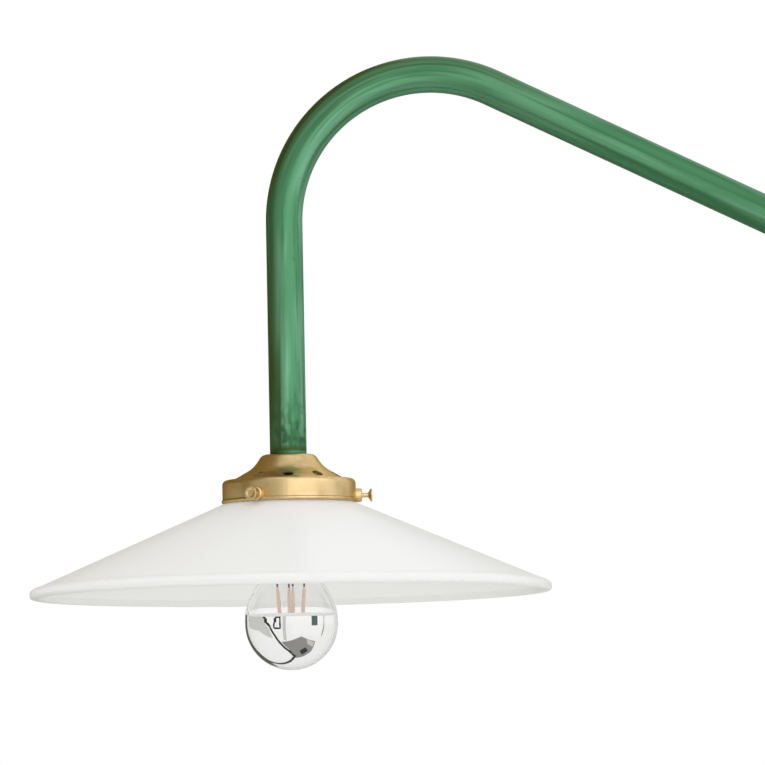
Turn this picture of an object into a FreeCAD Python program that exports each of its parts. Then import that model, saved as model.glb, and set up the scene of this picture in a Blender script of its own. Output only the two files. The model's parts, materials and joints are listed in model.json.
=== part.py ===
import FreeCAD, Part
import math
import os

# Gooseneck wall light: a bent tube turns in two eyes on a wall plate and carries, at its far end,
# a spun brass gallery with three thumb screws, an opal glass shade and a crown-silvered lamp.
# Millimetres. The wall is the plane Y = 0, the light stands out along -Y, and Z is up.
# The origin is the middle of the wall plate's back face.

# ---- arm ----
tube_radius = 12.0
tube_wall = 1.5
bend_radius = 96.0
arm_slope = 26.0
reach = 785.0
rod_length = 152.0
leg_length = 300.0

# ---- wall bracket ----
plate_width = 40.0
plate_thickness = 6.0
plate_length = 300.0
plate_edge_round = 1.2
axis_standoff = 45.0
eye_spacing = 170.0
eye_height = 22.0
eye_wall = 5.0
eye_edge_round = 1.5
stem_radius = 7.0
stem_foot_radius = 12.0
stem_foot_height = 4.0
stem_root_round = 3.0
wall_screw_spacing = 250.0
wall_screw_hole_radius = 2.75
wall_screw_sink_radius = 5.5
eye_screw_radius = 3.0
eye_screw_length = 18.0
eye_screw_head_radius = 5.8
eye_screw_recess = 0.3
eye_screw_hex = 4.0
eye_screw_hex_depth = 2.4
bush_wall = 1.9
bush_flange_width = 3.2
bush_flange_height = 2.0
washer_height = 1.2
washer_width = 5.0
collar_wall = 7.0
collar_height = 14.0
collar_edge_round = 1.0
collar_lift_gap = 0.8
grub_radius = 2.5
grub_length = 6.0
grub_hex = 2.5
grub_hex_depth = 2.6
grommet_flange_height = 3.0
grommet_plug_length = 12.0
grommet_round = 1.2
grommet_bore = 3.5

# ---- clearances and broken edges ----
running_gap = 0.06
slip_gap = 0.05
seat_gap = 0.2
thread_gap = 0.03
fine_break = 0.3
edge_break = 0.6
soft_break = 1.0
overcut = 1.0

# ---- gallery (depths are measured down from its flat top) ----
gallery_radius = 43.6
gallery_height = 31.5
gallery_sheet = 1.2
crown_radius = 17.2
crown_round = 4.5
waist_radius = 23.0
waist_depth = 8.6
waist_round = 20.0
flare_radius = 36.0
flare_depth = 15.9
shoulder_depth = 16.7
shoulder_round = 3.2
bead_height = 2.4
bead_proud = 0.6
bead_flat = 0.1
vent_count = 10
vent_radius = 3.5
vent_circle = 32.4

# ---- thumb screws ----
screw_count = 3
first_screw_angle = 93.0
screw_depth = 27.3
screw_radius = 1.5
screw_reach = 54.2
screw_head_radius = 4.3
screw_head_height = 2.5
screw_head_rim = 0.8
screw_head_lip = 1.2
screw_head_dish = 0.6
screw_dish_radius = 1.9
screw_neck_round = 1.0
tip_radius = 1.0
tip_length = 4.0
tip_proud = 1.0
boss_radius = 4.5
boss_height = 4.0
boss_round = 1.1
boss_seat = 0.6
spigot_radius = 2.7
spigot_proud = 0.6

# ---- nipple and lampholder ----
nipple_radius = 5.0
nipple_bore = 3.8
nipple_above = 12.0
nipple_below = 11.0
plug_length = 14.0
lock_washer_radius = 9.0
lock_washer_height = 1.0
nut_flats = 14.0
nut_height = 3.0
cap_gap = 0.3
cap_collar_radius = 7.6
cap_collar_height = 5.4
cap_dome_height = 2.4
cap_radius = 19.5
cap_height = 22.4
cap_sheet = 1.0
cap_round = 3.0
cap_neck_round = 1.5
cap_screw_radius = 1.5
cap_screw_drop = 2.4
cap_screw_hex = 1.5
cap_screw_hex_depth = 1.2
skirt_sheet = 1.1
skirt_overlap = 4.0
skirt_band_height = 2.0
skirt_below = 32.4
skirt_lip = 0.9
skirt_flange = 1.4
skirt_mouth_gap = 0.6
ceramic_top_gap = 3.2
ceramic_block_height = 17.2
ceramic_sleeve_height = 22.5
terminal_circle = 8.0
terminal_hole_radius = 1.2
terminal_hole_depth = 4.0
terminal_screw_circle = 13.0
terminal_screw_radius = 1.8
terminal_screw_proud = 0.6
terminal_slot_width = 0.6
terminal_slot_depth = 0.6
terminal_count = 3
shell_sheet = 0.45
shell_height = 21.0
contact_sheet = 0.5
contact_width = 5.0
contact_spring_drop = 1.3
contact_root_reach = 9.0
contact_knee_reach = 4.2
contact_touch_reach = 2.2
contact_tip_reach = 2.6
contact_bend_round = 1.0

# ---- shade ----
shade_radius = 170.4
shade_slope = 23.3
shade_wall = 3.5
shade_top_gap = 0.7
neck_radius = 38.8
neck_wall = 3.2
neck_lip = 2.2
neck_lip_height = 4.6
neck_throat_round = 6.0
rim_height = 7.0
rim_width = 5.6
rim_proud = 0.45
rim_root = 1.5
rim_shoulder = 2.2
rim_brow = 2.2
rim_round = 2.0

# ---- lamp ----
lamp_length = 105.2
lamp_radius = 30.2
lamp_glass = 0.9
lamp_top_round = 33.0
lamp_taper = 30.0
lamp_shoulder_height = 41.8
lamp_neck_radius = 14.7
lamp_neck_round = 28.0
lamp_throat_inset = 0.8
lamp_throat_round = 1.2
lamp_step_start = 0.4
lamp_step_height = 2.6
lamp_collar_height = 3.4
lamp_cap_radius = 13.15
lamp_cap_sheet = 0.4
lamp_cap_height = 26.8
lamp_cap_shoulder = 4.6
lamp_cap_round = 1.2
lamp_contact_radius = 4.6
lamp_contact_height = 1.1
lamp_contact_round = 0.8
lamp_insulator_radius = 9.0
lamp_insulator_rim = 2.85
lamp_insulator_height = 1.6
lamp_insulator_land = 0.8
mirror_sheet = 0.3
mirror_above_middle = 6.0
stem_glass_radius = 3.0
stem_glass_drop = 1.0
stem_flare_wall = 1.2
stem_flare_skirt = 1.4
stem_flare_height = 9.0
stem_flare_round = 6.0
stem_length = 23.0
stem_button_height = 3.0
stem_button_proud = 0.7
filament_count = 4
filament_radius = 1.25
filament_length = 34.0
filament_top_circle = 9.5
filament_foot_circle = 6.8
filament_turn = -81.0
filament_drop = 2.2
wire_radius = 0.4
wire_knee_reach = 2.0
wire_knee_drop = 0.6
wire_hub_drop = 5.0
wire_hub_tail = 1.0
driver_wire_share = 0.6
driver_radius = 9.5
driver_thickness = 1.6
driver_length = 15.0

# ---- derived places ----
tube_bore = tube_radius - tube_wall
slope = math.radians(arm_slope)
span = reach - 2 * bend_radius
leg_top = leg_length / 2
leg_bottom = leg_top - leg_length
gooseneck_height = leg_top + span * math.tan(slope)
axis_y = -axis_standoff
head_y = axis_y - reach
head_z = gooseneck_height - rod_length

bush_bore = tube_radius + running_gap
bush_radius = bush_bore + bush_wall
eye_bore = bush_radius + slip_gap
eye_radius = eye_bore + eye_wall
eye_places = {"upper": eye_spacing / 2, "lower": -eye_spacing / 2}

cap_top = gallery_sheet + lock_washer_height + nut_height + cap_gap
cap_foot = cap_top + cap_height
ceramic_radius = cap_radius - cap_sheet - skirt_sheet - 3 * slip_gap
ceramic_top = cap_top + cap_collar_height + cap_dome_height + ceramic_top_gap
ceramic_floor = ceramic_top + ceramic_block_height
shell_bore = lamp_cap_radius + seat_gap
shell_radius = shell_bore + shell_sheet
contact_depth = ceramic_floor + contact_spring_drop + contact_sheet
lamp_collar_radius = lamp_cap_radius - lamp_cap_sheet - 2 * slip_gap
lamp_top = contact_depth + slip_gap
lamp_foot = lamp_top + lamp_length
glass_top = lamp_top + lamp_cap_height - lamp_collar_height
insulator_top = lamp_top + lamp_insulator_rim
stem_top = glass_top + stem_glass_drop
stem_foot = stem_top + stem_length
driver_top = insulator_top + lamp_insulator_height + slip_gap

neck_lip_depth = screw_depth - screw_radius - seat_gap
screw_tip_reach = neck_radius + slip_gap
screw_end_reach = screw_tip_reach + tip_proud

HEAD = FreeCAD.Vector(0, head_y, head_z)
UP = FreeCAD.Vector(0, 0, 1)
CENTRE = FreeCAD.Vector(0, 0, 0)
TINY = 1e-6


# ---- tools for profiles ----
def flat(radius, depth):
    """A point of a turned profile: its distance from the axis and its depth below the datum."""
    return FreeCAD.Vector(radius, 0, -depth)


def rounded_edges(corners, closed=False):
    """Edges through (radius, depth, round) corners, each corner with its own rounding."""
    points = [flat(c[0], c[1]) for c in corners]
    rounds = [c[2] if len(c) > 2 else 0 for c in corners]
    count = len(points)
    legs = []
    for i, point in enumerate(points):
        if rounds[i] == 0 or (not closed and i in (0, count - 1)):
            legs.append((point, None, point))
            continue
        back = (points[i - 1] - point).normalize()
        ahead = (points[(i + 1) % count] - point).normalize()
        half = back.getAngle(ahead) / 2
        run = rounds[i] / math.tan(half)
        start = point + back * run
        end = point + ahead * run
        middle = (back + ahead).normalize()
        top = point + middle * (rounds[i] / math.sin(half) - rounds[i])
        legs.append((start, top, end))
    edges = []
    for i, (start, top, end) in enumerate(legs):
        if i > 0 and (start - legs[i - 1][2]).Length > TINY:
            edges.append(Part.LineSegment(legs[i - 1][2], start).toShape())
        if top is not None:
            edges.append(Part.Arc(start, top, end).toShape())
    if closed and (legs[0][0] - legs[-1][2]).Length > TINY:
        edges.append(Part.LineSegment(legs[-1][2], legs[0][0]).toShape())
    return edges


def turned(corners):
    """Solid of revolution about Z of the closed, rounded outline."""
    wire = Part.Wire(Part.__sortEdges__(rounded_edges(corners, closed=True)))
    return Part.Face(wire).revolve(CENTRE, UP, 360)


def inner_corners(corners, thickness):
    """The corners of the path that lies one wall thickness to the right of the given one."""
    points = [flat(c[0], c[1]) for c in corners]
    rounds = [c[2] if len(c) > 2 else 0 for c in corners]
    steps = [(b - a).normalize() for a, b in zip(points, points[1:])]
    sides = [FreeCAD.Vector(s.z, 0, -s.x) for s in steps]
    inner = []
    for i, point in enumerate(points):
        before = sides[max(i - 1, 0)]
        after = sides[min(i, len(sides) - 1)]
        shift = (before + after).normalize()
        place = point + shift * (thickness / shift.dot(after))
        turn = steps[max(i - 1, 0)].cross(steps[min(i, len(steps) - 1)]).y
        radius = rounds[i] - math.copysign(thickness, turn) if rounds[i] else 0
        inner.append((place.x, -place.z, max(radius, 0)))
    return inner


def spun(corners, thickness):
    """Thin wall of revolution: the path is its outer face, the wall lies to the path's right."""
    outer = rounded_edges(corners)
    inner = rounded_edges(inner_corners(corners, thickness))
    first, last = outer[0].Vertexes[0].Point, outer[-1].Vertexes[-1].Point
    inner_first, inner_last = inner[0].Vertexes[0].Point, inner[-1].Vertexes[-1].Point
    closing = []
    for a, b in ((last, inner_last), (inner_first, first)):
        if (a - b).Length > TINY and (a.x > TINY or b.x > TINY):
            closing.append(Part.LineSegment(a, b).toShape())
    if first.x < TINY:
        closing.append(Part.LineSegment(first, inner_first).toShape())
    if last.x < TINY:
        closing.append(Part.LineSegment(last, inner_last).toShape())
    wire = Part.Wire(Part.__sortEdges__(outer + inner + closing))
    return Part.Face(wire).revolve(CENTRE, UP, 360)


def ring(bore, radius, top, bottom, rounding=0):
    """Plain ring or disc between two depths, with its outer edges rounded."""
    corners = [(bore, top), (radius, top, rounding), (radius, bottom, rounding), (bore, bottom)]
    return turned(corners)


def rod(radius, start, end):
    """Round bar from one point to another."""
    return Part.makeCylinder(radius, (end - start).Length, start, end - start)


def around(shape, angle, centre=CENTRE, axis=UP):
    """A copy of the shape turned about an axis."""
    copy = shape.copy()
    copy.rotate(centre, axis, angle)
    return copy


def in_head(shape):
    """Moves a head piece from its own datum to the end of the arm."""
    copy = shape.copy()
    copy.translate(HEAD)
    return copy


def swept(radius, edges):
    """Round bar along a path of straight runs and tangent arcs."""
    path = Part.Wire(edges)
    start = path.Edges[0].valueAt(path.Edges[0].FirstParameter)
    heading = path.Edges[0].tangentAt(path.Edges[0].FirstParameter)
    circle = Part.Wire(Part.Circle(start, heading, radius).toShape())
    return path.makePipeShell([circle], True, False)


# ---- arm ----
def arm_points():
    """Bends and straights of the arm's centre line, from the wall leg to the lamp."""
    leg_end = FreeCAD.Vector(0, axis_y, leg_bottom)
    wall_centre = FreeCAD.Vector(0, axis_y - bend_radius, leg_top)
    neck_centre = FreeCAD.Vector(0, head_y + bend_radius, gooseneck_height)
    return leg_end, wall_centre, neck_centre


def on_bend(centre, angle):
    """A point of a bend's centre line, by its angle from level, towards the wall."""
    turn = math.radians(angle)
    return centre + FreeCAD.Vector(0, math.cos(turn), math.sin(turn)) * bend_radius


def arm_path(extra=0.0):
    """Centre line of the arm; both ends can run on past the tube by a given length."""
    leg_end, wall_centre, neck_centre = arm_points()
    steep = 90 - arm_slope
    wall_bend = [on_bend(wall_centre, a) for a in (0, steep / 2, steep)]
    neck_bend = [on_bend(neck_centre, a) for a in (steep, (steep + 180) / 2, 180)]
    start = leg_end - UP * extra
    end = HEAD - UP * extra
    return [
        Part.LineSegment(start, wall_bend[0]).toShape(),
        Part.Arc(*wall_bend).toShape(),
        Part.LineSegment(wall_bend[2], neck_bend[0]).toShape(),
        Part.Arc(*neck_bend).toShape(),
        Part.LineSegment(neck_bend[2], end).toShape(),
    ]


def make_arm_tube():
    return swept(tube_radius, arm_path()).cut(swept(tube_bore, arm_path(overcut)))


def make_grommet():
    top = -leg_bottom - grommet_plug_length
    foot = -leg_bottom + grommet_flange_height
    plug = tube_bore - seat_gap
    body = turned([
        (grommet_bore, top), (plug, top, grommet_round), (plug, -leg_bottom),
        (tube_radius, -leg_bottom), (tube_radius, foot, grommet_round), (grommet_bore, foot),
    ])
    body.translate(FreeCAD.Vector(0, axis_y, 0))
    return body


# ---- wall bracket ----
def make_wall_plate():
    half = plate_width / 2
    straight = plate_length / 2 - half
    corners = [(half, straight), (half, -straight), (-half, -straight), (-half, straight)]
    a, b, c, d = [FreeCAD.Vector(x, 0, z) for x, z in corners]
    outline = Part.Wire([
        Part.LineSegment(a, b).toShape(),
        Part.Arc(b, FreeCAD.Vector(0, 0, -plate_length / 2), c).toShape(),
        Part.LineSegment(c, d).toShape(),
        Part.Arc(d, FreeCAD.Vector(0, 0, plate_length / 2), a).toShape(),
    ])
    plate = Part.Face(outline).extrude(FreeCAD.Vector(0, -plate_thickness, 0))
    front = [e for e in plate.Edges if abs(e.BoundBox.YMax + plate_thickness) < TINY]
    plate = plate.makeFillet(plate_edge_round, front)
    sink = wall_screw_sink_radius
    for z in (wall_screw_spacing / 2, -wall_screw_spacing / 2):
        face = FreeCAD.Vector(0, -plate_thickness, z)
        back = FreeCAD.Vector(0, overcut, z)
        plate = plate.cut(rod(wall_screw_hole_radius, face, back))
        plate = plate.cut(Part.makeCone(sink, 0, sink, face, FreeCAD.Vector(0, 1, 0)))
    for z in eye_places.values():
        plate = plate.cut(rod(eye_screw_radius + seat_gap, FreeCAD.Vector(0, overcut, z),
                              FreeCAD.Vector(0, -plate_thickness - overcut, z)))
        sink = eye_screw_head_radius + seat_gap + eye_screw_recess
        plate = plate.cut(Part.makeCone(sink, 0, sink, FreeCAD.Vector(0, 0, z),
                                        FreeCAD.Vector(0, -1, 0)))
    return plate


def make_eye(z):
    foot = -plate_thickness
    stem = turned([
        (0, 0), (stem_foot_radius, 0, soft_break), (stem_foot_radius, stem_foot_height, soft_break),
        (stem_radius, stem_foot_height, stem_root_round),
        (stem_radius, axis_standoff - plate_thickness), (0, axis_standoff - plate_thickness),
    ])
    stem.rotate(CENTRE, FreeCAD.Vector(1, 0, 0), -90)
    stem.translate(FreeCAD.Vector(0, foot, 0))
    collar = ring(0, eye_radius, -eye_height / 2, eye_height / 2, eye_edge_round)
    collar.translate(FreeCAD.Vector(0, axis_y, 0))
    over = eye_height / 2 + overcut
    bore = rod(eye_bore, FreeCAD.Vector(0, axis_y, -over), FreeCAD.Vector(0, axis_y, over))
    tapped = rod(eye_screw_radius + thread_gap, FreeCAD.Vector(0, foot + overcut, 0),
                 FreeCAD.Vector(0, -eye_screw_length - overcut, 0))
    eye = stem.fuse(collar).cut(bore).cut(tapped).removeSplitter()
    eye.translate(FreeCAD.Vector(0, 0, z))
    return eye


def make_eye_screws():
    head = eye_screw_head_radius
    screws = []
    for z in eye_places.values():
        slope_foot = eye_screw_recess + head - eye_screw_radius
        screw = turned([
            (0, eye_screw_recess), (head, eye_screw_recess), (eye_screw_radius, slope_foot),
            (eye_screw_radius, eye_screw_length, edge_break), (0, eye_screw_length),
        ])
        socket = hexagon(eye_screw_hex, eye_screw_hex_depth)
        socket.translate(flat(0, eye_screw_recess + eye_screw_hex_depth))
        screw = screw.cut(socket)
        screw.rotate(CENTRE, FreeCAD.Vector(1, 0, 0), -90)
        screw.translate(FreeCAD.Vector(0, 0, z))
        screws.append(screw)
    return Part.makeCompound(screws)


def hexagon(flats, height):
    """Hexagonal prism standing on the plane z = 0."""
    corner = flats / math.sqrt(3)
    points = [
        FreeCAD.Vector(corner * math.cos(math.radians(60 * k)), corner * math.sin(math.radians(60 * k)), 0)
        for k in range(7)
    ]
    return Part.Face(Part.makePolygon(points)).extrude(UP * height)


def make_bush(z):
    top = -(eye_height / 2)
    flange = top - bush_flange_height
    body = turned([
        (bush_bore, flange), (bush_radius + bush_flange_width, flange, edge_break),
        (bush_radius + bush_flange_width, top), (bush_radius, top),
        (bush_radius, eye_height / 2), (bush_bore, eye_height / 2),
    ])
    body.translate(FreeCAD.Vector(0, axis_y, z))
    return body


def thrust_top():
    """Height of the face that the stop collar turns on."""
    return eye_places["lower"] + eye_height / 2 + bush_flange_height + washer_height


def make_thrust_washer():
    foot = thrust_top() - washer_height
    body = ring(bush_bore + seat_gap, bush_bore + washer_width, -washer_height, 0)
    body.translate(FreeCAD.Vector(0, axis_y, foot))
    return body


def collar_feet():
    """Heights of the undersides of the two shaft collars."""
    lift_foot = eye_places["upper"] - eye_height / 2 - collar_lift_gap - collar_height
    return {"stop": thrust_top(), "lift": lift_foot}


def make_collar(foot):
    body = ring(tube_radius + slip_gap, tube_radius + collar_wall, -collar_height, 0, collar_edge_round)
    hole = rod(grub_radius + thread_gap, FreeCAD.Vector(0, 0, collar_height / 2),
               FreeCAD.Vector(tube_radius + collar_wall + overcut, 0, collar_height / 2))
    body = body.cut(hole)
    body.translate(FreeCAD.Vector(0, axis_y, foot))
    return body


def grub_screw(radius, length, hex_flats, hex_depth):
    """Grub screw along +X from the origin, its hexagon socket in the far end."""
    body = turned([(0, -length), (radius, -length, fine_break), (radius, 0, fine_break), (0, 0)])
    socket = hexagon(hex_flats, hex_depth)
    socket.translate(UP * (length - hex_depth))
    body = body.cut(socket)
    body.rotate(CENTRE, FreeCAD.Vector(0, 1, 0), 90)
    return body


def make_collar_grub_screws():
    screws = []
    for foot in collar_feet().values():
        screw = grub_screw(grub_radius, grub_length, grub_hex, grub_hex_depth)
        screw.translate(FreeCAD.Vector(tube_radius + slip_gap, axis_y, foot + collar_height / 2))
        screws.append(screw)
    return Part.makeCompound(screws)


# ---- gallery and its screws ----
def gallery_corners():
    """Outer face of the spun gallery, from its hole to the bead at its mouth."""
    bead_top = gallery_height - bead_height
    return [
        (nipple_radius + slip_gap, 0), (crown_radius, 0, crown_round),
        (waist_radius, waist_depth, waist_round), (flare_radius, flare_depth),
        (gallery_radius, shoulder_depth, shoulder_round), (gallery_radius, bead_top),
    ]


def make_gallery():
    bell = spun(gallery_corners(), gallery_sheet)
    bead = ring(gallery_radius - gallery_sheet, gallery_radius + bead_proud,
                gallery_height - bead_height, gallery_height, (bead_height - bead_flat) / 2)
    bell = bell.fuse(bead)
    run = flare_radius - waist_radius
    fall = flare_depth - waist_depth
    vent_depth = waist_depth + fall * (vent_circle - waist_radius) / run
    outward = FreeCAD.Vector(fall, 0, run).normalize()
    middle = flat(vent_circle, vent_depth)
    vent = rod(vent_radius, middle - outward * vent_radius, middle + outward * vent_radius)
    for k in range(vent_count):
        bell = bell.cut(around(vent, 360 / vent_count * k))
    hole = rod(spigot_radius + slip_gap, flat(gallery_radius - gallery_sheet - overcut, screw_depth),
               flat(gallery_radius + overcut, screw_depth))
    for angle in screw_angles():
        bell = bell.cut(around(hole, angle))
    return in_head(bell.removeSplitter())


def screw_angles():
    """Directions of the thumb screws about the lamp's axis; the first points nearly to the wall."""
    return [first_screw_angle + 360 / screw_count * k for k in range(screw_count)]


def radial(corners, angle):
    """A piece turned about the screw's own axis, its depths measured out from the lamp's axis."""
    piece = turned(corners)
    piece.rotate(CENTRE, FreeCAD.Vector(0, 1, 0), -90)
    piece.translate(flat(0, screw_depth))
    return around(piece, angle)


def make_screw_bosses():
    bore = screw_radius + thread_gap
    inside = gallery_radius - gallery_sheet - spigot_proud
    seat = gallery_radius - boss_seat
    face = gallery_radius + boss_height
    bosses = []
    for angle in screw_angles():
        boss = radial([
            (bore, inside), (spigot_radius, inside), (spigot_radius, seat), (boss_radius, seat),
            (boss_radius, face, boss_round), (bore, face),
        ], angle)
        drum = ring(inside - overcut, gallery_radius + slip_gap, 0, screw_depth + 2 * boss_radius)
        hollow = around(rod(spigot_radius, flat(0, screw_depth), flat(face, screw_depth)), angle)
        boss = in_head(boss.cut(drum.cut(hollow)))
        bosses.append(boss)
    return Part.makeCompound(bosses)


def make_thumb_screw(angle):
    head = screw_reach - screw_head_height
    pocket = screw_end_reach + tip_length - tip_proud + slip_gap
    return in_head(radial([
        (tip_radius + thread_gap, screw_end_reach), (screw_radius, screw_end_reach, slip_gap),
        (screw_radius, head, screw_neck_round),
        (screw_head_radius, screw_reach - screw_head_rim, fine_break),
        (screw_head_radius, screw_reach, fine_break),
        (screw_head_radius - screw_head_lip, screw_reach, fine_break),
        (screw_dish_radius, screw_reach - screw_head_dish, edge_break), (0, screw_reach - screw_head_dish),
        (0, pocket), (tip_radius + thread_gap, pocket),
    ], angle))


def make_nylon_tip(angle):
    end = screw_tip_reach + tip_length
    return in_head(radial([
        (0, screw_tip_reach), (tip_radius, screw_tip_reach, fine_break), (tip_radius, end), (0, end),
    ], angle))


# ---- nipple and lampholder ----
def make_tube_plug():
    return in_head(ring(nipple_radius + thread_gap, tube_bore - slip_gap, -plug_length, 0, edge_break))


def make_nipple():
    return in_head(ring(nipple_bore, nipple_radius, -nipple_above, nipple_below, fine_break))


def make_lock_washer():
    return in_head(ring(nipple_radius + seat_gap, lock_washer_radius, gallery_sheet,
                        gallery_sheet + lock_washer_height))


def make_nipple_nut():
    top = gallery_sheet + lock_washer_height
    nut = hexagon(nut_flats, nut_height)
    foot_radius = nut_flats / math.sqrt(3) - edge_break
    dome = Part.makeCone(foot_radius + nut_height, foot_radius, nut_height)
    nut = nut.common(dome)
    nut = nut.cut(Part.makeCylinder(nipple_radius + thread_gap, nut_height))
    nut.rotate(CENTRE, FreeCAD.Vector(1, 0, 0), 180)
    nut.translate(flat(0, top))
    return in_head(nut)


def make_holder_cap():
    neck_foot = cap_top + cap_collar_height
    brow = neck_foot + cap_dome_height
    bore = nipple_radius + thread_gap
    inner = cap_radius - cap_sheet
    cap = turned([
        (bore, cap_top), (cap_collar_radius, cap_top, edge_break),
        (cap_collar_radius, neck_foot, cap_neck_round),
        (cap_radius, brow, cap_round), (cap_radius, cap_foot), (inner, cap_foot),
        (inner, brow + cap_sheet, cap_round - cap_sheet), (bore, neck_foot + cap_sheet),
    ])
    screw_level = cap_top + cap_screw_drop
    hole = rod(cap_screw_radius + thread_gap, flat(0, screw_level),
               flat(cap_collar_radius + overcut, screw_level))
    return in_head(cap.cut(hole))


def make_holder_grub_screw():
    length = cap_collar_radius - nipple_radius - slip_gap
    screw = grub_screw(cap_screw_radius, length, cap_screw_hex, cap_screw_hex_depth)
    screw.translate(flat(nipple_radius + slip_gap, cap_top + cap_screw_drop))
    return in_head(screw)


def make_holder_skirt():
    radius = cap_radius - cap_sheet - slip_gap
    bore = radius - skirt_sheet
    top = cap_foot - skirt_overlap
    band = cap_foot + slip_gap
    band_foot = band + skirt_band_height
    foot = cap_foot + skirt_below
    lip_top = foot - 2 * skirt_lip
    mouth = shell_radius + skirt_mouth_gap
    return in_head(turned([
        (bore, top), (radius, top, fine_break), (radius, band), (cap_radius, band, fine_break),
        (cap_radius, band_foot, fine_break), (radius, band_foot),
        (radius, lip_top), (radius + skirt_lip, lip_top, edge_break),
        (radius + skirt_lip, foot, edge_break), (mouth, foot, fine_break),
        (mouth, foot - skirt_flange, fine_break), (bore, foot - skirt_flange),
    ]))


def make_holder_ceramic():
    sleeve_bore = shell_radius + slip_gap
    foot = ceramic_floor + ceramic_sleeve_height
    hole_foot = ceramic_top + terminal_hole_depth
    body = turned([
        (0, ceramic_top), (ceramic_radius, ceramic_top, soft_break), (ceramic_radius, foot, edge_break),
        (sleeve_bore, foot), (sleeve_bore, ceramic_floor), (0, ceramic_floor),
    ])
    core_hole = rod(terminal_hole_radius, flat(terminal_circle, ceramic_top - overcut),
                    flat(terminal_circle, hole_foot))
    screw_hole = rod(terminal_screw_radius + thread_gap, flat(terminal_screw_circle, ceramic_top - overcut),
                     flat(terminal_screw_circle, hole_foot))
    for angle in terminal_angles():
        body = body.cut(around(core_hole, angle)).cut(around(screw_hole, angle))
    return in_head(body)


def terminal_angles():
    return [360 / terminal_count * k for k in range(terminal_count)]


def make_terminal_screws():
    head = ceramic_top - terminal_screw_proud
    foot = ceramic_top + terminal_hole_depth - seat_gap
    screw = rod(terminal_screw_radius, flat(terminal_screw_circle, head), flat(terminal_screw_circle, foot))
    slot_run = terminal_screw_radius + overcut
    corner = flat(terminal_screw_circle - slot_run, head + terminal_slot_depth)
    corner.y = -terminal_slot_width / 2
    slot = Part.makeBox(2 * slot_run, terminal_slot_width, terminal_slot_depth + overcut, corner)
    screw = screw.cut(slot)
    return Part.makeCompound([in_head(around(screw, angle)) for angle in terminal_angles()])


def make_screw_shell():
    top = ceramic_floor + slip_gap
    return in_head(ring(shell_bore, shell_radius, top, top + shell_height))


def make_centre_contact():
    half = contact_sheet / 2
    high = ceramic_floor + slip_gap + half
    low = contact_depth - half
    spine = [
        (contact_root_reach, high), (contact_knee_reach, high, contact_bend_round),
        (contact_touch_reach, low, contact_bend_round), (-contact_tip_reach, low),
    ]
    upper = rounded_edges(inner_corners(spine, half))
    lower = rounded_edges(inner_corners(spine, -half))
    ends = []
    for pick in (0, -1):
        a = upper[pick].Vertexes[pick].Point
        b = lower[pick].Vertexes[pick].Point
        ends.append(Part.LineSegment(a, b).toShape())
    outline = Part.Wire(Part.__sortEdges__(upper + lower + ends))
    blade = Part.Face(outline).extrude(FreeCAD.Vector(0, contact_width, 0))
    blade.translate(FreeCAD.Vector(0, -contact_width / 2, 0))
    return in_head(blade)


# ---- shade ----
def cone_depth(radius):
    """Depth of the shade's outer face at a distance from the axis."""
    start = gallery_height + shade_top_gap
    return start + (radius - gallery_radius) * math.tan(math.radians(shade_slope))


def make_shade():
    below = shade_wall / math.cos(math.radians(shade_slope))
    bore = neck_radius - neck_wall
    lip = neck_radius + neck_lip
    lip_top = neck_lip_depth - neck_lip_height
    rim_start = shade_radius - rim_width
    root = rim_start - rim_root
    rim_top = cone_depth(rim_start + rim_shoulder) - rim_proud
    rim_foot = rim_top + rim_height
    return in_head(turned([
        (bore, lip_top, soft_break), (lip, lip_top, soft_break), (lip, neck_lip_depth, soft_break),
        (neck_radius, neck_lip_depth, edge_break), (neck_radius, cone_depth(neck_radius), rim_round),
        (root, cone_depth(root), rim_round), (rim_start + rim_shoulder, rim_top, rim_round),
        (shade_radius, rim_top + rim_brow, rim_round), (shade_radius, rim_foot, rim_round),
        (rim_start, rim_foot, rim_round), (root, cone_depth(root) + below, soft_break),
        (bore, cone_depth(bore) + below, neck_throat_round),
    ]))


# ---- lamp ----
def lamp_corners():
    """Outer face of the lamp's glass, from the cap to the crown."""
    taper = math.tan(math.radians(lamp_taper))
    shoulder = lamp_foot - lamp_shoulder_height
    neck = shoulder - (lamp_radius - lamp_neck_radius) / taper
    step = glass_top + lamp_collar_height + lamp_step_start
    throat = glass_top + lamp_collar_height + lamp_step_height
    return [
        (lamp_collar_radius, glass_top), (lamp_collar_radius, step, lamp_throat_round),
        (lamp_neck_radius - lamp_throat_inset, throat, lamp_throat_round),
        (lamp_neck_radius, neck, lamp_neck_round), (lamp_radius, shoulder, lamp_top_round),
        (lamp_radius, lamp_foot, lamp_radius), (0, lamp_foot),
    ]


def make_lamp_glass():
    return in_head(spun(lamp_corners(), lamp_glass))


def make_lamp_mirror():
    liner = spun(inner_corners(lamp_corners(), lamp_glass + slip_gap), mirror_sheet)
    crown = Part.makeCylinder(lamp_radius, lamp_radius + mirror_above_middle, flat(0, lamp_foot))
    return in_head(liner.common(crown))


def make_lamp_cap():
    shoulder = lamp_top + lamp_cap_shoulder
    return in_head(spun([
        (lamp_insulator_radius, insulator_top), (lamp_cap_radius, shoulder, lamp_cap_round),
        (lamp_cap_radius, lamp_top + lamp_cap_height),
    ], lamp_cap_sheet))


def make_lamp_insulator():
    top = lamp_top + lamp_contact_height
    foot = insulator_top + lamp_insulator_height
    radius = lamp_insulator_radius - seat_gap
    land = lamp_contact_radius + lamp_insulator_land
    return in_head(turned([
        (0, top), (land, top, fine_break), (radius, insulator_top, fine_break), (radius, foot), (0, foot),
    ]))


def make_lamp_contact():
    foot = lamp_top + lamp_contact_height - slip_gap
    return in_head(turned([
        (0, lamp_top), (lamp_contact_radius, lamp_top, lamp_contact_round),
        (lamp_contact_radius, foot), (0, foot),
    ]))


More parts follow.
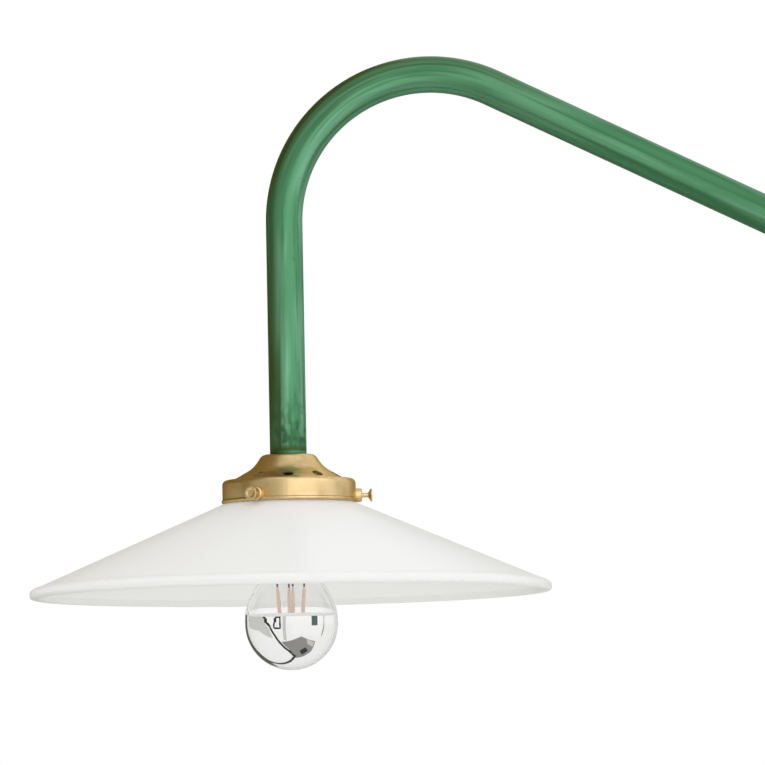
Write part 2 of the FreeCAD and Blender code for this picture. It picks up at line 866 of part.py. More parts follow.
def make_lamp_stem():
    flare = lamp_collar_radius - lamp_glass - slip_gap
    floor = stem_top + stem_flare_wall
    return in_head(turned([
        (0, floor), (flare - stem_flare_wall, floor, edge_break), (flare, stem_top),
        (flare, stem_top + stem_flare_skirt, edge_break),
        (stem_glass_radius, stem_top + stem_flare_height, stem_flare_round),
        (stem_glass_radius, stem_foot - stem_button_height, soft_break),
        (stem_glass_radius + stem_button_proud, stem_foot, edge_break), (0, stem_foot),
    ]))


def filament_ends(angle):
    """Upper and lower end of one filament stick."""
    top = stem_foot + filament_drop
    turn = math.radians(angle)
    direction = FreeCAD.Vector(math.cos(turn), math.sin(turn), 0)
    upper = direction * filament_top_circle + flat(0, top)
    lower = direction * filament_foot_circle + flat(0, top + filament_length)
    return upper, lower


def filament_angles():
    return [filament_turn + 360 / filament_count * k for k in range(filament_count)]


def make_lamp_filaments():
    sticks = []
    for angle in filament_angles():
        upper, lower = filament_ends(angle)
        sticks.append(in_head(rod(filament_radius, upper, lower)))
    return Part.makeCompound(sticks)


def make_lamp_wires():
    """Lead wires from the stem to the filaments, and the star that joins their lower ends."""
    start = stem_foot + slip_gap
    root = flat(0, start + wire_knee_drop)
    hub_depth = start + filament_length + wire_hub_drop
    hub = flat(0, hub_depth - wire_hub_tail)
    spine = rod(wire_radius, flat(0, start), flat(0, hub_depth))
    for angle in filament_angles():
        upper, lower = filament_ends(angle)
        along = (lower - upper).normalize()
        top = upper - along * slip_gap
        foot = lower + along * slip_gap
        knee = root + FreeCAD.Vector(top.x, top.y, 0).normalize() * wire_knee_reach
        for a, b in ((root, knee), (knee, top), (hub, foot)):
            spine = spine.fuse(rod(wire_radius, a, b))
        spine = spine.fuse(Part.makeSphere(wire_radius, knee))
    for angle in filament_angles():
        spine = spine.cut(rod(filament_radius + slip_gap, *filament_ends(angle)))
    wires = [in_head(spine)]
    for side in (-1, 1):
        upper = flat(side * driver_radius * driver_wire_share, driver_top + driver_length + seat_gap)
        lower = flat(side * stem_glass_radius, stem_top + stem_flare_wall - seat_gap)
        wires.append(in_head(rod(wire_radius, upper, lower)))
    return Part.makeCompound(wires)


def make_lamp_driver():
    board = Part.makeBox(2 * driver_radius, driver_thickness, driver_length)
    board.translate(FreeCAD.Vector(-driver_radius, -driver_thickness / 2, -driver_top - driver_length))
    return in_head(board)


# ---- build ----
def parts():
    """Every sub-part by its node's name."""
    made = {
        "wall_plate": make_wall_plate(),
        "eye_screws": make_eye_screws(),
        "thrust_washer": make_thrust_washer(),
        "stop_collar": make_collar(collar_feet()["stop"]),
        "lift_collar": make_collar(collar_feet()["lift"]),
        "collar_grub_screws": make_collar_grub_screws(),
        "arm_tube": make_arm_tube(),
        "tube_end_grommet": make_grommet(),
        "tube_plug": make_tube_plug(),
        "nipple": make_nipple(),
        "lock_washer": make_lock_washer(),
        "nipple_nut": make_nipple_nut(),
        "gallery": make_gallery(),
        "screw_bosses": make_screw_bosses(),
        "holder_cap": make_holder_cap(),
        "holder_grub_screw": make_holder_grub_screw(),
        "holder_skirt": make_holder_skirt(),
        "holder_ceramic": make_holder_ceramic(),
        "terminal_screws": make_terminal_screws(),
        "screw_shell": make_screw_shell(),
        "centre_contact": make_centre_contact(),
        "shade": make_shade(),
        "lamp_glass": make_lamp_glass(),
        "lamp_mirror": make_lamp_mirror(),
        "lamp_cap": make_lamp_cap(),
        "lamp_insulator": make_lamp_insulator(),
        "lamp_contact": make_lamp_contact(),
        "lamp_stem": make_lamp_stem(),
        "lamp_filaments": make_lamp_filaments(),
        "lamp_wires": make_lamp_wires(),
        "lamp_driver": make_lamp_driver(),
    }
    for name, z in eye_places.items():
        made[name + "_eye"] = make_eye(z)
        made[name + "_bush"] = make_bush(z)
    for k, angle in enumerate(screw_angles(), start=1):
        made["thumb_screw_" + str(k)] = make_thumb_screw(angle)
        made["nylon_tip_" + str(k)] = make_nylon_tip(angle)
    return made


os.makedirs("parts", exist_ok=True)
for node, shape in parts().items():
    bad = [s for s in shape.Solids if not s.isValid() or s.Volume <= 0]
    print(node, len(shape.Solids), "solids", round(shape.Volume, 1), "mm3", "INVALID" if bad else "")
    shape.exportStep("parts/" + node + ".step")
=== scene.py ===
import json
import math

import bmesh
import bpy
from mathutils import Matrix, Vector


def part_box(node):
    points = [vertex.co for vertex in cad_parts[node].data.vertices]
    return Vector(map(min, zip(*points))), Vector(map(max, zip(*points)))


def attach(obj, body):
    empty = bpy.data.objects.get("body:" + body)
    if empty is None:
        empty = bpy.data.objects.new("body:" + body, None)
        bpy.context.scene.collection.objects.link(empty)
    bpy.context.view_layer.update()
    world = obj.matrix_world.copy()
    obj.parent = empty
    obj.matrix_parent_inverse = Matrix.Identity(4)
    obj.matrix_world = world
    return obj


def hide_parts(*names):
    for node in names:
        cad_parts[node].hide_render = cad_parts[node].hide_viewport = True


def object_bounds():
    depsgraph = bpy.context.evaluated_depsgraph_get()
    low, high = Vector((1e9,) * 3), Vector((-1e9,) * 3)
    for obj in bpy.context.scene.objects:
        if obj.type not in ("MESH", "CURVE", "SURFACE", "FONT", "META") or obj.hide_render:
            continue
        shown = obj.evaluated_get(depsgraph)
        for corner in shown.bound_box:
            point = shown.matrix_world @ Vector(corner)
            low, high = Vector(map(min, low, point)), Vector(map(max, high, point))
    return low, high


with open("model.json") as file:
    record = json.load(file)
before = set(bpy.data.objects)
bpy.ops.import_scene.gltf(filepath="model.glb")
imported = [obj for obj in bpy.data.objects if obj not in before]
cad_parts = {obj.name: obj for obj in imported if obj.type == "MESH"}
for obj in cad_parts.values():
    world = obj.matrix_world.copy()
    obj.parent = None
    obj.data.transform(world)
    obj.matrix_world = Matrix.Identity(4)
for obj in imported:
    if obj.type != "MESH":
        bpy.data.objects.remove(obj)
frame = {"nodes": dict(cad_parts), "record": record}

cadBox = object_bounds()
nodes = frame["nodes"]
print("frame loaded,", len(nodes), "nodes")


# where things are, all read from the frame
def cornersOf(node):
    low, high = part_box(node)
    return Vector(low), Vector(high)


def middleOf(node):
    low, high = cornersOf(node)
    return (low + high) / 2


tubeLow, tubeHigh = cornersOf("arm_tube")
tubeRadius = (tubeHigh.x - tubeLow.x) / 2
headAxis = Vector((0, middleOf("gallery").y, 0))
legAxis = Vector((0, middleOf("stop_collar").y, 0))
headTop = cornersOf("gallery")[1].z
lampMiddle = middleOf("lamp_glass")
alongX = Vector((1, 0, 0))
alongY = Vector((0, 1, 0))
alongZ = Vector((0, 0, 1))


# shorthands for building node trees
def newMaterial(name):
    material = bpy.data.materials.new(name)
    material.use_nodes = True
    return material, material.node_tree


def setInputs(tree, node, inputs):
    for key, value in inputs.items():
        if isinstance(value, bpy.types.NodeSocket):
            tree.links.new(value, node.inputs[key])
        else:
            node.inputs[key].default_value = value


def addNode(tree, kind, inputs=None, **settings):
    node = tree.nodes.new(kind)
    for key, value in settings.items():
        setattr(node, key, value)
    setInputs(tree, node, inputs or {})
    return node


def shaderOf(tree):
    return tree.nodes["Principled BSDF"]


def mathOf(tree, operation, first, second):
    return addNode(tree, "ShaderNodeMath", {0: first, 1: second}, operation=operation).outputs[0]


def vectorMathOf(tree, operation, *values):
    return addNode(tree, "ShaderNodeVectorMath", dict(enumerate(values)), operation=operation).outputs


def mapRange(tree, value, span, target=(0.0, 1.0), kind="LINEAR"):
    node = addNode(tree, "ShaderNodeMapRange", {
        "Value": value, "From Min": span[0], "From Max": span[1], "To Min": target[0],
        "To Max": target[1]}, interpolation_type=kind)
    return node.outputs["Result"]


def mixColor(tree, factor, first, second):
    ends = [end if isinstance(end, bpy.types.NodeSocket) else (*end, 1) for end in (first, second)]
    node = addNode(tree, "ShaderNodeMix", {0: factor, 6: ends[0], 7: ends[1]}, data_type="RGBA")
    return node.outputs[2]


def mixShader(tree, factor, first, second):
    return addNode(tree, "ShaderNodeMixShader", {0: factor, 1: first, 2: second}).outputs[0]


def plainTone(tree, color):
    return addNode(tree, "ShaderNodeEmission", {"Color": (*color, 1), "Strength": 1.0}).outputs[0]


def noiseOf(tree, vector, scale, detail=3.0, roughness=0.5, distortion=0.0):
    node = addNode(tree, "ShaderNodeTexNoise", {
        "Vector": vector, "Scale": scale, "Detail": detail, "Roughness": roughness,
        "Distortion": distortion})
    return node.outputs["Fac"]


def addBump(tree, height, strength, distance):
    inputs = {"Height": height, "Strength": strength, "Distance": distance}
    return addNode(tree, "ShaderNodeBump", inputs).outputs["Normal"]


def objectPlace(tree):
    return addNode(tree, "ShaderNodeTexCoord").outputs["Object"]


noiseBand = (0.3, 0.7)                 # nearly all values of a noise lie between these


# three coordinates of a place on a lacquered piece: along the grain, then two across it
def placeOnTube(tree):
    return addNode(tree, "ShaderNodeAttribute", attribute_name="tubePlace").outputs["Vector"]


def placeOnBracket(tree):
    parts = addNode(tree, "ShaderNodeSeparateXYZ", {0: objectPlace(tree)}).outputs
    return addNode(tree, "ShaderNodeCombineXYZ", {0: parts["Z"], 1: parts["X"], 2: parts["Y"]}).outputs[0]


lacquer = {
    "body": (0.080, 0.262, 0.130),
    "light": (0.160, 0.395, 0.238),
    "deep": (0.034, 0.118, 0.046),
    "paintedShadeSide": (0.050, 0.098, 0.024),
    "teal": (0.090, 0.340, 0.230),
    "tubeWear": 1.0,                   # strength of patches and streaks
    "bracketWear": 0.35,
    "roughness": (0.26, 0.38),
    "gloss": 0.14,
    "edgeTint": (0.70, 0.88, 0.72),
    "metal": 0.55,
    "relief": 0.10,
    "reliefDepth": 0.0002,
}

# size along and across the grain, and the noise values between which a mark sets in
lacquerMarks = {
    "clouds": {"size": (0.110, 0.012), "detail": 3, "roughness": 0.45, "distortion": 0.3,
               "edges": (0.40, 0.60)},                      # long, soft-edged patches
    "streaks": {"size": (0.170, 0.0034), "detail": 4, "roughness": 0.55, "distortion": 0.2,
                "edges": (0.50, 0.68), "strength": 0.85},   # dark brush streaks
    "hairs": {"size": (0.060, 0.0008), "detail": 3, "roughness": 0.6, "distortion": 0.0,
              "edges": (0.50, 0.80), "strength": 0.40},     # fine brush lines
    "specks": {"size": (0.007, 0.004), "detail": 2, "roughness": 0.5, "distortion": 0.0,
               "edges": (0.70, 0.78), "strength": 0.55},
}


def markNoise(tree, place, mark):
    along, across = mark["size"]
    scale = (1 / along, 1 / across, 1 / across)
    vector = addNode(tree, "ShaderNodeMapping", {"Vector": place, "Scale": scale}).outputs["Vector"]
    return noiseOf(tree, vector, 1.0, mark["detail"], mark["roughness"], mark["distortion"])


def lacquerMaterial(name, placeOf, wear):
    material, tree = newMaterial(name)
    place = placeOf(tree)
    noises = {mark: markNoise(tree, place, lacquerMarks[mark]) for mark in lacquerMarks}
    patches = mapRange(tree, noises["clouds"], lacquerMarks["clouds"]["edges"], (0, wear), "SMOOTHSTEP")
    color = mixColor(tree, patches, lacquer["body"], lacquer["light"])
    for mark, worn in (("streaks", wear), ("hairs", wear), ("specks", 1)):
        strength = lacquerMarks[mark]["strength"] * worn
        share = mapRange(tree, noises[mark], lacquerMarks[mark]["edges"], (0, strength))
        color = mixColor(tree, share, color, lacquer["deep"])
    # the tube also gets darker tones along it and painted shade on its outer side
    if placeOf is placeOnTube:
        color = paintTubeTonesAndShade(tree, place, noises, color)
    setInputs(tree, shaderOf(tree), {
        "Base Color": color,
        "Roughness": mapRange(tree, noises["streaks"], noiseBand, lacquer["roughness"]),
        "Normal": addBump(tree, noises["hairs"], lacquer["relief"], lacquer["reliefDepth"]),
        "Metallic": lacquer["metal"],
        "Specular IOR Level": lacquer["gloss"],
        "Specular Tint": (*lacquer["edgeTint"], 1),
    })
    return material


# places along the tube are heights above the gallery; places across it are in tube radii
tubeTonesAndShade = {
    "straightTone": 0.50,              # how much darker the straight run is than the rod
    # painted shade: where the olive on the outer side begins and ends, in tube radii
    "shadedSideEdges": (0.15, 1.05),
    "shadedSideWander": (-0.25, 0.25),
    "shadedSideFade": (-0.08, 0.05),        # counted from the end of the first bend
    "shadedSideOnStraight": 0.12,
    "mottleHeights": (0.045, 0.018),   # where it begins and where it is full
    "mottleEdges": (0.42, 0.62),
    "mottleStrength": 0.8,
    "bandHeights": (0.0060, 0.0030),
    "bandWander": (-0.0015, 0.0015),
    "bandStrength": 0.75,
    "ringHeights": (0.00264, 0.00154),
    "ringSide": (0.7, -0.2),
}


def inRadii(span):
    return tuple(share * tubeRadius for share in span)


# the straight run darker than the rod, painted shade in olive on the outer side of the bend and the rod,
# and darker mottling, a dark band and a teal ring at the rod's foot
def paintTubeTonesAndShade(tree, place, noises, color):
    parts = addNode(tree, "ShaderNodeSeparateXYZ", {0: place}).outputs
    along, outer = parts[0], parts[2]
    specks = noises["specks"]
    bendEnd = arm["rodRun"] + arm["neckRun"]
    tone = mapRange(tree, along, (arm["rodRun"], bendEnd), (0, tubeTonesAndShade["straightTone"]))
    color = mixColor(tree, tone, color, lacquer["deep"])
    # painted shade: olive on the outer side of the rod and the bend, fading out along the straight run
    fade = tuple(bendEnd + reach for reach in tubeTonesAndShade["shadedSideFade"])
    share = mapRange(tree, along, fade, (1, tubeTonesAndShade["shadedSideOnStraight"]))
    wander = mapRange(tree, noises["clouds"], noiseBand, inRadii(tubeTonesAndShade["shadedSideWander"]))
    paintedShadeSide = mapRange(tree, mathOf(tree, "ADD", outer, wander), inRadii(tubeTonesAndShade["shadedSideEdges"]),
                     kind="SMOOTHSTEP")
    color = mixColor(tree, mathOf(tree, "MULTIPLY", paintedShadeSide, share), color, lacquer["paintedShadeSide"])
    # darker mottling and a dark olive band near the rod's foot, and a teal ring on its wall side at the
    # very end
    foot = mapRange(tree, along, tubeTonesAndShade["mottleHeights"])
    spots = mapRange(tree, specks, tubeTonesAndShade["mottleEdges"], (0, tubeTonesAndShade["mottleStrength"]))
    color = mixColor(tree, mathOf(tree, "MULTIPLY", foot, spots), color, lacquer["deep"])
    ragged = mathOf(tree, "ADD", along, mapRange(tree, specks, noiseBand, tubeTonesAndShade["bandWander"]))
    band = mapRange(tree, ragged, tubeTonesAndShade["bandHeights"], (0, tubeTonesAndShade["bandStrength"]))
    color = mixColor(tree, band, color, lacquer["paintedShadeSide"])
    ring = mapRange(tree, along, tubeTonesAndShade["ringHeights"])
    tealSide = mapRange(tree, outer, inRadii(tubeTonesAndShade["ringSide"]))
    return mixColor(tree, mathOf(tree, "MULTIPLY", ring, tealSide), color, lacquer["teal"])


brass = {
    "color": (0.750, 0.565, 0.300),
    "dark": (0.380, 0.250, 0.085),
    "edgeTint": (0.88, 0.72, 0.42),
    "roughness": (0.27, 0.40),
    "grainScale": 900,
    "stainScale": 70,
    "stainEdges": (0.48, 0.78),
    "stainStrength": 0.5,
    "lineSize": 0.00030,
    "lineEdges": (0.45, 0.85),
    "lineStrength": 0.25,
    "lineRelief": 0.12,
    "lineDepth": 0.0001,
    # brown of the painted shade and dark reflection in the gallery's hollow
    "hollowShade": (0.200, 0.115, 0.025),
    "hollowShadeInner": (0.020, 0.028),    # radii of the hollow where the vents are
    "hollowShadeOuter": (0.041, 0.035),
    "hollowShadeScale": 60,
    "hollowShadeEdges": (0.50, 0.66),
    "hollowShadeStrength": 0.40,
}


# painted shade and dark reflection: brown patches in the hollow of the gallery's cone
def hollowShadeShare(tree, place, radius):
    near = mathOf(tree, "MULTIPLY", mapRange(tree, radius, brass["hollowShadeInner"], kind="SMOOTHSTEP"),
                  mapRange(tree, radius, brass["hollowShadeOuter"], kind="SMOOTHSTEP"))
    clouds = noiseOf(tree, place, brass["hollowShadeScale"], detail=2)
    patches = mapRange(tree, clouds, brass["hollowShadeEdges"], (0, brass["hollowShadeStrength"]), "SMOOTHSTEP")
    return mathOf(tree, "MULTIPLY", near, patches)


# spinning and turning leave fine rings about the piece's axis
def brassMaterial(name, axisPoint):
    material, tree = newMaterial(name)
    place = objectPlace(tree)
    stains = noiseOf(tree, place, brass["stainScale"], detail=4, roughness=0.6)
    grain = noiseOf(tree, place, brass["grainScale"], roughness=0.6)
    offset = vectorMathOf(tree, "SUBTRACT", place, tuple(axisPoint))["Vector"]
    flat = vectorMathOf(tree, "MULTIPLY", offset, (1, 1, 0))["Vector"]
    radius = vectorMathOf(tree, "LENGTH", flat)["Value"]
    height = addNode(tree, "ShaderNodeSeparateXYZ", {0: place}).outputs["Z"]
    rings = addNode(tree, "ShaderNodeCombineXYZ", {"X": radius, "Y": height, "Z": 0.0}).outputs[0]
    lines = noiseOf(tree, rings, 1 / brass["lineSize"], detail=2)
    stained = mapRange(tree, stains, brass["stainEdges"], (0, brass["stainStrength"]))
    color = mixColor(tree, stained, brass["color"], brass["dark"])
    lined = mapRange(tree, lines, brass["lineEdges"], (0, brass["lineStrength"]))
    color = mixColor(tree, lined, color, brass["dark"])
    # painted shade and dark reflection in the hollow round the vents
    if axisPoint is headAxis:
        color = mixColor(tree, hollowShadeShare(tree, place, radius), color, brass["hollowShade"])
    setInputs(tree, shaderOf(tree), {
        "Base Color": color,
        "Roughness": mapRange(tree, grain, noiseBand, brass["roughness"]),
        "Normal": addBump(tree, lines, brass["lineRelief"], brass["lineDepth"]),
        "Metallic": 1.0,
        "Specular Tint": (*brass["edgeTint"], 1),
    })
    return material


opal = {
    "color": (0.815, 0.815, 0.790),
    "cloud": (0.800, 0.800, 0.770),
    "roughness": 0.30,
    "gloss": 0.12,
    "depth": 0.8,
    "radius": (0.030, 0.030, 0.027),
    "waveScale": 9,
    "waveEdges": (0.35, 0.65),
    "waveRelief": 0.05,
    "waveDepth": 0.004,
}


def opalMaterial():
    material, tree = newMaterial("opalGlass")
    waves = noiseOf(tree, objectPlace(tree), opal["waveScale"], detail=2, roughness=0.4)
    clouded = mapRange(tree, waves, opal["waveEdges"])
    setInputs(tree, shaderOf(tree), {
        "Base Color": mixColor(tree, clouded, opal["color"], opal["cloud"]),
        "Normal": addBump(tree, waves, opal["waveRelief"], opal["waveDepth"]),
        "Roughness": opal["roughness"],
        "Specular IOR Level": opal["gloss"],
        "Subsurface Weight": opal["depth"],
        "Subsurface Radius": opal["radius"],
        "Subsurface Scale": 1.0,
    })
    return material


clearGlass = {
    "color": (0.965, 0.968, 0.965),
    "refraction": 1.46,
    "waveScale": 45,
    "waveRelief": 0.03,
    "waveDepth": 0.001,
}


def clearGlassMaterial():
    material, tree = newMaterial("clearGlass")
    waves = noiseOf(tree, objectPlace(tree), clearGlass["waveScale"], detail=1, roughness=0.4)
    setInputs(tree, shaderOf(tree), {
        "Normal": addBump(tree, waves, clearGlass["waveRelief"], clearGlass["waveDepth"]),
        "Base Color": (*clearGlass["color"], 1),
        "Transmission Weight": 1.0,
        "Roughness": 0.0,
        "IOR": clearGlass["refraction"],
    })
    return material


phosphor = {
    "color": (0.90, 0.69, 0.58),
    "darkShare": 0.9,
    "grainScale": 1000,
    "roughness": 0.6,
    "glow": 0.34,
}


# the renderer drops most light inside clear glass; a faint glow of its own stands in for it
def phosphorMaterial():
    material, tree = newMaterial("phosphorCoat")
    grain = noiseOf(tree, objectPlace(tree), phosphor["grainScale"])
    dark = tuple(phosphor["darkShare"] * part for part in phosphor["color"])
    color = mixColor(tree, mapRange(tree, grain, noiseBand), dark, phosphor["color"])
    setInputs(tree, shaderOf(tree), {
        "Base Color": color,
        "Emission Color": color,
        "Emission Strength": phosphor["glow"],
        "Roughness": phosphor["roughness"],
    })
    return material


# plain made surfaces, by material slot
madeFinishes = {
    "steel": {"name": "zincSteel", "color": (0.60, 0.60, 0.61), "roughness": 0.35, "metallic": 1.0},
    "mirror_coat": {"name": "silverCoat", "color": (0.95, 0.95, 0.945), "roughness": 0.02,
                    "metallic": 1.0, "spread": 0.01, "relief": 0.01},
    "nickel": {"name": "nickelPlate", "color": (0.72, 0.70, 0.66), "roughness": 0.18, "metallic": 1.0,
               "spread": 0.03},
    "black_glass": {"name": "blackGlass", "color": (0.015, 0.015, 0.018), "roughness": 0.12},
    "solder": {"name": "tinSolder", "color": (0.62, 0.62, 0.62), "roughness": 0.30, "metallic": 1.0},
    "lead_wire": {"name": "leadWire", "color": (0.10, 0.09, 0.09), "roughness": 0.40, "metallic": 0.6},
    "board": {"name": "printedBoard", "color": (0.03, 0.16, 0.06), "roughness": 0.45},
    "ceramic": {"name": "porcelain", "color": (0.82, 0.81, 0.77), "roughness": 0.20, "spread": 0.03},
    "polymer": {"name": "blackPolymer", "color": (0.025, 0.025, 0.027), "roughness": 0.45,
                "grainSize": 0.0006, "spread": 0.2},
    "nylon": {"name": "nylon", "color": (0.78, 0.77, 0.72), "roughness": 0.40, "spread": 0.05},
    "rubber": {"name": "rubber", "color": (0.022, 0.022, 0.022), "roughness": 0.62,
               "grainSize": 0.0008, "spread": 0.2},
}
madeGloss = (0.85, 1.15)               # the grain varies the roughness between these shares
madeReliefDepth = 0.0003


# the grain varies the colour, the gloss and the relief
def madeMaterial(name, color, roughness, metallic=0.0, grainSize=0.003, relief=0.05, spread=0.12):
    material, tree = newMaterial(name)
    grain = noiseOf(tree, objectPlace(tree), 1 / grainSize, detail=4, roughness=0.6)
    dark = tuple(part * (1 - spread) for part in color)
    pale = tuple(min(1, part * (1 + spread)) for part in color)
    setInputs(tree, shaderOf(tree), {
        "Base Color": mixColor(tree, mapRange(tree, grain, noiseBand), dark, pale),
        "Roughness": mapRange(tree, grain, noiseBand, tuple(roughness * share for share in madeGloss)),
        "Normal": addBump(tree, grain, relief, madeReliefDepth),
        "Metallic": metallic,
    })
    return material


# shorthands for building meshes
def ringAt(centre, across, up, radius, sides):
    turns = [2 * math.pi * side / sides for side in range(sides)]
    return [centre + radius * (math.cos(turn) * across + math.sin(turn) * up) for turn in turns]


def skinOf(rings, closed=False):
    sides = len(rings[0])
    last = len(rings) if closed else len(rings) - 1
    faces = []
    for number in range(last):
        here = number * sides
        ahead = (number + 1) % len(rings) * sides
        for side in range(sides):
            after = (side + 1) % sides
            faces.append((here + side, here + after, ahead + after, ahead + side))
    if not closed:
        faces.append(tuple(range(sides)))
        faces.append(tuple(range(last * sides, last * sides + sides)))
    return [tuple(point) for ring in rings for point in ring], faces


def addPiece(name, skins, material, body):
    mesh = bpy.data.meshes.new(name)
    shape = bmesh.new()
    for points, faces in skins:
        made = [shape.verts.new(point) for point in points]
        for face in faces:
            shape.faces.new([made[corner] for corner in face])
    bmesh.ops.recalc_face_normals(shape, faces=shape.faces)
    for face in shape.faces:
        face.smooth = len(face.verts) == 4     # every face but the flat ends has four corners
    shape.to_mesh(mesh)
    shape.free()
    mesh.materials.append(material)
    piece = bpy.data.objects.new(name, mesh)
    bpy.context.collection.objects.link(piece)
    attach(piece, body)
    return piece


arm = {
    "bendRadius": 0.096,
    "slope": math.radians(26),
    "wall": 0.0015,
    "lip": 0.0004,
    "sides": 72,
    "bendStep": 0.0026,
    "straightStep": 0.030,
}
legTop = -tubeLow.z                    # the leg's straight run is centred on the frame's zero
neckCentre = Vector((0, headAxis.y + arm["bendRadius"], tubeHigh.z - tubeRadius - arm["bendRadius"]))
wallCentre = Vector((0, legAxis.y - arm["bendRadius"], legTop))
arm["rodRun"] = neckCentre.z - headTop
arm["neckRun"] = (math.pi / 2 + arm["slope"]) * arm["bendRadius"]
arm["straightRun"] = (wallCentre.y - neckCentre.y) / math.cos(arm["slope"])
arm["wallRun"] = (math.pi / 2 - arm["slope"]) * arm["bendRadius"]
arm["legRun"] = legTop - tubeLow.z


def bendPoint(centre, angle):
    outward = Vector((0, math.cos(angle), math.sin(angle)))
    return centre + arm["bendRadius"] * outward, outward


# centre line from the gallery to the tube's foot: the point, and the direction away from a bend's centre
def tubePoint(along):
    steep = math.pi / 2 - arm["slope"]
    if along < arm["rodRun"]:
        return Vector((0, headAxis.y, headTop + along)), -alongY
    along -= arm["rodRun"]
    if along < arm["neckRun"]:
        return bendPoint(neckCentre, math.pi - along / arm["bendRadius"])
    along -= arm["neckRun"]
    if along < arm["straightRun"]:
        start, outward = bendPoint(neckCentre, steep)
        downhill = Vector((0, math.cos(arm["slope"]), -math.sin(arm["slope"])))
        return start + along * downhill, outward
    along -= arm["straightRun"]
    if along < arm["wallRun"]:
        return bendPoint(wallCentre, steep - along / arm["bendRadius"])
    return Vector((0, legAxis.y, legTop - along + arm["wallRun"])), alongY


def tubeStations():
    stations = [0.0]
    for run, step in (("rodRun", "straightStep"), ("neckRun", "bendStep"), ("straightRun", "straightStep"),
                      ("wallRun", "bendStep"), ("legRun", "straightStep")):
        count = math.ceil(arm[run] / arm[step])
        start = stations[-1]
        stations += [start + arm[run] * (number + 1) / count for number in range(count)]
    return stations


def makeArmTube(material):
    stations = tubeStations()
    end, lip = stations[-1], arm["lip"]
    bore = tubeRadius - arm["wall"]
    outside = [(along, tubeRadius) for along in [lip] + stations[1:-1] + [end - lip]]
    inside = [(along, bore) for along in [end - lip] + stations[-2:0:-1] + [lip]]
    profile = [(0, bore + lip), (0, tubeRadius - lip)] + outside
    profile += [(end, tubeRadius - lip), (end, bore + lip)] + inside
    rings, places = [], []
    for along, radius in profile:
        centre, outward = tubePoint(along)
        rings.append(ringAt(centre, alongX, outward, radius, arm["sides"]))
        section = ringAt(Vector((0, 0, 0)), alongX, alongY, radius, arm["sides"])
        places += [(along, point.x, point.y) for point in section]
    piece = addPiece("armTube", [skinOf(rings, closed=True)], material, "arm")
    attribute = piece.data.attributes.new("tubePlace", "FLOAT_VECTOR", "POINT")
    attribute.data.foreach_set("vector", [number for place in places for number in place])
    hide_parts("arm_tube")


def threadDepth(shape, rise, turn):
    into = min(rise - shape["threadStart"], shape["threadEnd"] - rise) / shape["fade"]
    wave = 0.5 - 0.5 * math.cos(2 * math.pi * rise / shape["pitch"] - turn)
    return shape["depth"] * wave * min(1, max(0, into))


def threadedRing(shape, radius, rise, foot):
    ring = []
    for side in range(shape["sides"]):
        turn = 2 * math.pi * side / shape["sides"]
        reach = radius - threadDepth(shape, rise, turn)
        ring.append(Vector((reach * math.cos(turn), headAxis.y + reach * math.sin(turn), foot + rise)))
    return ring


lampCap = {
    "pitch": 0.00362,
    "depth": 0.0009,
    "sheet": 0.0004,
    "threadStart": 0.0055,             # above the cap's foot
    "threadEnd": 0.0215,
    "fade": 0.0015,
    "tipRadius": 0.0090,
    "shoulder": 0.00175,
    "sides": 72,
    "step": 0.0003,
}


def makeLampCap(material):
    low, high = cornersOf("lamp_cap")
    radius, sheet = (high.x - low.x) / 2, lampCap["sheet"]
    top = high.z - low.z
    shoulder = top - lampCap["shoulder"]
    steps = math.ceil(shoulder / lampCap["step"])
    rises = [shoulder * number / steps for number in range(steps + 1)]
    rings = [threadedRing(lampCap, radius, rise, low.z) for rise in rises]
    rings.append(threadedRing(lampCap, lampCap["tipRadius"], top, low.z))
    rings.append(threadedRing(lampCap, lampCap["tipRadius"] - sheet, top - sheet, low.z))
    rings += [threadedRing(lampCap, radius - sheet, rise, low.z) for rise in reversed(rises)]
    piece = addPiece("lampCap", [skinOf(rings, closed=True)], material, "lamp")
    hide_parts("lamp_cap")


screwShell = {
    "pitch": 0.00362,
    "depth": 0.00020,
    "sheet": 0.00025,
    "threadStart": 0.0015,
    "threadEnd": 0.0195,
    "fade": 0.0015,
    "sides": 72,
    "step": 0.0004,
}


def makeScrewShell(material):
    low, high = cornersOf("screw_shell")
    radius, sheet = (high.x - low.x) / 2, screwShell["sheet"]
    length = high.z - low.z
    steps = math.ceil(length / screwShell["step"])
    rises = [length * number / steps for number in range(steps + 1)]
    rings = [threadedRing(screwShell, radius, rise, low.z) for rise in rises]
    rings += [threadedRing(screwShell, radius - sheet, rise, low.z) for rise in reversed(rises)]
    piece = addPiece("screwShell", [skinOf(rings, closed=True)], material, "arm")
    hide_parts("screw_shell")


screwThread = {
    "pitch": 0.0005,
    "shankRadius": 0.0015,
    "height": 0.00016,
    "halfWidth": 0.00017,
    "sunk": 0.00005,                   # how far the ridge's foot is sunk into the shank
    "start": 0.0010,                   # outward from the boss's face
    "end": 0.0052,
    "stepsPerTurn": 24,
}


# distance of the bosses' outer faces from the head's axis, from the boss that points nearly to the wall
def bossFace():
    return cornersOf("screw_bosses")[1].y - headAxis.y


